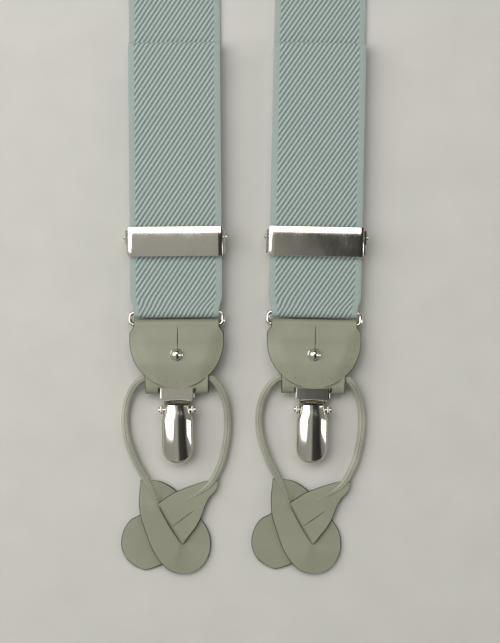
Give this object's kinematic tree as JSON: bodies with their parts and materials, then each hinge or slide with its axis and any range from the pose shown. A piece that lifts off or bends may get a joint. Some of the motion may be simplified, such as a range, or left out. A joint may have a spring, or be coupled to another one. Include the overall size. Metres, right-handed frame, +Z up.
{
  "type": "suspenders",
  "caption": "Y-back elastic dress suspenders laid flat, with sliding adjusters, buttoned leather ends, lever clips and rolled leather button loops.",
  "frame": {"origin": "middle of the underside of everything but the loose leather loops", "axes": "+X across the straps, +Y from the front ends towards the rear end, +Z up from the surface it lies on"},
  "size_m": [0.0951, 0.6554, 0.0102],
  "materials": {
    "webbing": "elastic webbing with diagonal ribs",
    "leather": "smooth, with dark cut edges",
    "nickel": "polished nickel plate",
    "pad": "moulded"
  },
  "bodies": {
    "root": {"strap_left": "webbing", "strap_right": "webbing", "strap_rear": "webbing", "patch_front": "leather", "patch_back": "leather"},
    "adjuster_left": {"adjuster_base_left": "nickel", "adjuster_pin_left": "nickel"},
    "adjuster_lever_left": {"adjuster_cover_left": "nickel"},
    "end_left": {"ring_left": "nickel", "flap_left": "leather", "backing_left": "leather", "clip_tab_left": "leather", "stud_left": "nickel", "stud_screw_left": "nickel", "loop_cord_left": "leather", "button_tab_left_left": "leather", "button_tab_right_left": "leather"},
    "clip_left": {"clip_body_left": "nickel", "clip_pin_left": "nickel"},
    "clip_lever_left": {"clip_lever_left": "nickel"},
    "jaw_left": {"clip_jaw_left": "nickel", "jaw_pad_left": "pad"},
    "adjuster_right": {"adjuster_base_right": "nickel", "adjuster_pin_right": "nickel"},
    "adjuster_lever_right": {"adjuster_cover_right": "nickel"},
    "end_right": {"ring_right": "nickel", "flap_right": "leather", "backing_right": "leather", "clip_tab_right": "leather", "stud_right": "nickel", "stud_screw_right": "nickel", "loop_cord_right": "leather", "button_tab_left_right": "leather", "button_tab_right_right": "leather"},
    "clip_right": {"clip_body_right": "nickel", "clip_pin_right": "nickel"},
    "clip_lever_right": {"clip_lever_right": "nickel"},
    "jaw_right": {"clip_jaw_right": "nickel", "jaw_pad_right": "pad"},
    "end_rear": {"ring_rear": "nickel", "flap_rear": "leather", "backing_rear": "leather", "clip_tab_rear": "leather", "stud_rear": "nickel", "stud_screw_rear": "nickel", "loop_cord_rear": "leather", "button_tab_left_rear": "leather", "button_tab_right_rear": "leather"},
    "clip_rear": {"clip_body_rear": "nickel", "clip_pin_rear": "nickel"},
    "clip_lever_rear": {"clip_lever_rear": "nickel"},
    "jaw_rear": {"clip_jaw_rear": "nickel", "jaw_pad_rear": "pad"}
  },
  "joints": [
    {"name": "adjuster_slide_left", "type": "slide", "parent": "root", "child": "adjuster_left", "axis": [-0.0087, 1, 0], "range_m": [-0.008, 0.06]},
    {"name": "adjuster_open_left", "type": "hinge", "parent": "adjuster_left", "child": "adjuster_lever_left", "pos_m": [-0.02703, -0.1992, 0.00653], "axis": [-1, -0.0087, 0], "range_deg": [0, 25]},
    {"name": "end_swing_left", "type": "hinge", "parent": "root", "child": "end_left", "pos_m": [-0.02678, -0.22775, 0.00398], "axis": [-1, -0.0087, 0], "range_deg": [0, 90]},
    {"name": "clip_swing_left", "type": "hinge", "parent": "end_left", "child": "clip_left", "pos_m": [-0.02654, -0.256, 0.00433], "axis": [-1, -0.0087, 0], "range_deg": [0, 60]},
    {"name": "clip_open_left", "type": "hinge", "parent": "clip_left", "child": "clip_lever_left", "pos_m": [-0.02646, -0.2647, 0.00578], "axis": [-1, -0.0087, 0], "range_deg": [0, 65]},
    {"name": "jaw_open_left", "type": "hinge", "parent": "clip_left", "child": "jaw_left", "pos_m": [-0.02644, -0.2674, 0.00388], "axis": [-1, -0.0087, 0], "range_deg": [0, 12]},
    {"name": "adjuster_slide_right", "type": "slide", "parent": "root", "child": "adjuster_right", "axis": [0.0209, 0.9998, 0], "range_m": [-0.008, 0.06]},
    {"name": "adjuster_open_right", "type": "hinge", "parent": "adjuster_right", "child": "adjuster_lever_right", "pos_m": [0.02642, -0.19921, 0.00653], "axis": [-0.9998, 0.0209, 0], "range_deg": [0, 25]},
    {"name": "end_swing_right", "type": "hinge", "parent": "root", "child": "end_right", "pos_m": [0.02582, -0.22775, 0.00398], "axis": [-0.9998, 0.0209, 0], "range_deg": [0, 90]},
    {"name": "clip_swing_right", "type": "hinge", "parent": "end_right", "child": "clip_right", "pos_m": [0.02523, -0.256, 0.00433], "axis": [-0.9998, 0.0209, 0], "range_deg": [0, 60]},
    {"name": "clip_open_right", "type": "hinge", "parent": "clip_right", "child": "clip_lever_right", "pos_m": [0.02505, -0.26469, 0.00578], "axis": [-0.9998, 0.0209, 0], "range_deg": [0, 65]},
    {"name": "jaw_open_right", "type": "hinge", "parent": "clip_right", "child": "jaw_right", "pos_m": [0.02499, -0.26739, 0.00388], "axis": [-0.9998, 0.0209, 0], "range_deg": [0, 12]},
    {"name": "end_swing_rear", "type": "hinge", "parent": "root", "child": "end_rear", "pos_m": [-0.00049, 0.22775, 0.00398], "axis": [1, 0, 0], "range_deg": [0, 90]},
    {"name": "clip_swing_rear", "type": "hinge", "parent": "end_rear", "child": "clip_rear", "pos_m": [-0.00049, 0.256, 0.00433], "axis": [1, 0, 0], "range_deg": [0, 60]},
    {"name": "clip_open_rear", "type": "hinge", "parent": "clip_rear", "child": "clip_lever_rear", "pos_m": [-0.00049, 0.2647, 0.00578], "axis": [1, 0, 0], "range_deg": [0, 65]},
    {"name": "jaw_open_rear", "type": "hinge", "parent": "clip_rear", "child": "jaw_rear", "pos_m": [-0.00049, 0.2674, 0.00388], "axis": [1, 0, 0], "range_deg": [0, 12]}
  ],
  "couplings": [
    {"joint": "jaw_open_left", "follows": "clip_open_left", "ratio": 0.123},
    {"joint": "jaw_open_right", "follows": "clip_open_right", "ratio": 0.123},
    {"joint": "jaw_open_rear", "follows": "clip_open_rear", "ratio": 0.123}
  ]
}
